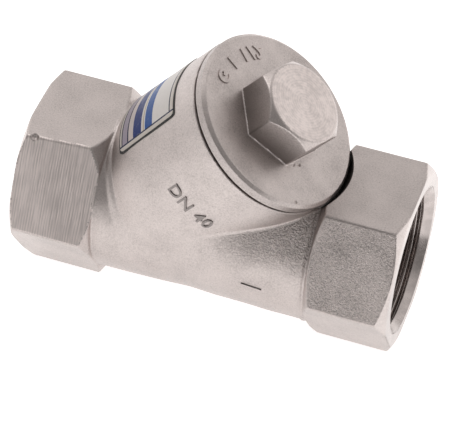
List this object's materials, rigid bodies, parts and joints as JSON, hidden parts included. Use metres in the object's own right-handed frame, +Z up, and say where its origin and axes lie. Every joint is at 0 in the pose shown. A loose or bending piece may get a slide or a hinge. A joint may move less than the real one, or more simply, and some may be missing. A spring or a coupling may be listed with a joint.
{
  "type": "y strainer",
  "caption": "Cast stainless Y strainer with hexagonal threaded ends, a tilted branch closed by a hex-headed screw cap, and a perforated screen inside.",
  "frame": {"origin": "on the ground plane under the middle of the strainer's length, on its plane of symmetry", "axes": "+X along the flow, from the inlet socket to the outlet socket; +Z up, with the branch rising towards +X; +Y across"},
  "size_m": [0.127, 0.0672, 0.0925],
  "materials": {
    "cast_stainless": "blasted investment casting",
    "cap_stainless": "blasted investment casting",
    "gasket_ptfe": "matte",
    "screen_stainless": "rolled perforated sheet",
    "mesh_stainless": "woven wire",
    "label_film": "printed film"
  },
  "bodies": {
    "root": {"body_casting": "cast_stainless", "rating_label": "label_film"},
    "screen": {"screen_tube": "screen_stainless", "screen_seat_ring": "screen_stainless", "screen_cap_ring": "screen_stainless", "mesh_liner": "mesh_stainless"},
    "gasket": {"cap_gasket": "gasket_ptfe"},
    "cap": {"screw_cap": "cap_stainless"}
  },
  "joints": [
    {"name": "screen_withdraw", "type": "slide", "parent": "root", "child": "screen", "axis": [0.6374, 0, 0.7705], "range_m": [0, 0.06]},
    {"name": "cap_lift", "type": "slide", "parent": "screen", "child": "gasket", "axis": [0.6374, 0, 0.7705], "range_m": [0, 0.01]},
    {"name": "cap_unscrew", "type": "hinge", "parent": "gasket", "child": "cap", "pos_m": [-0.0214, 0, 0.028], "axis": [0.6374, 0, 0.7705], "range_deg": [0, 1800]}
  ],
  "couplings": [
    {"joint": "cap_lift", "follows": "cap_unscrew", "m_per_rad": 0.00031831}
  ]
}
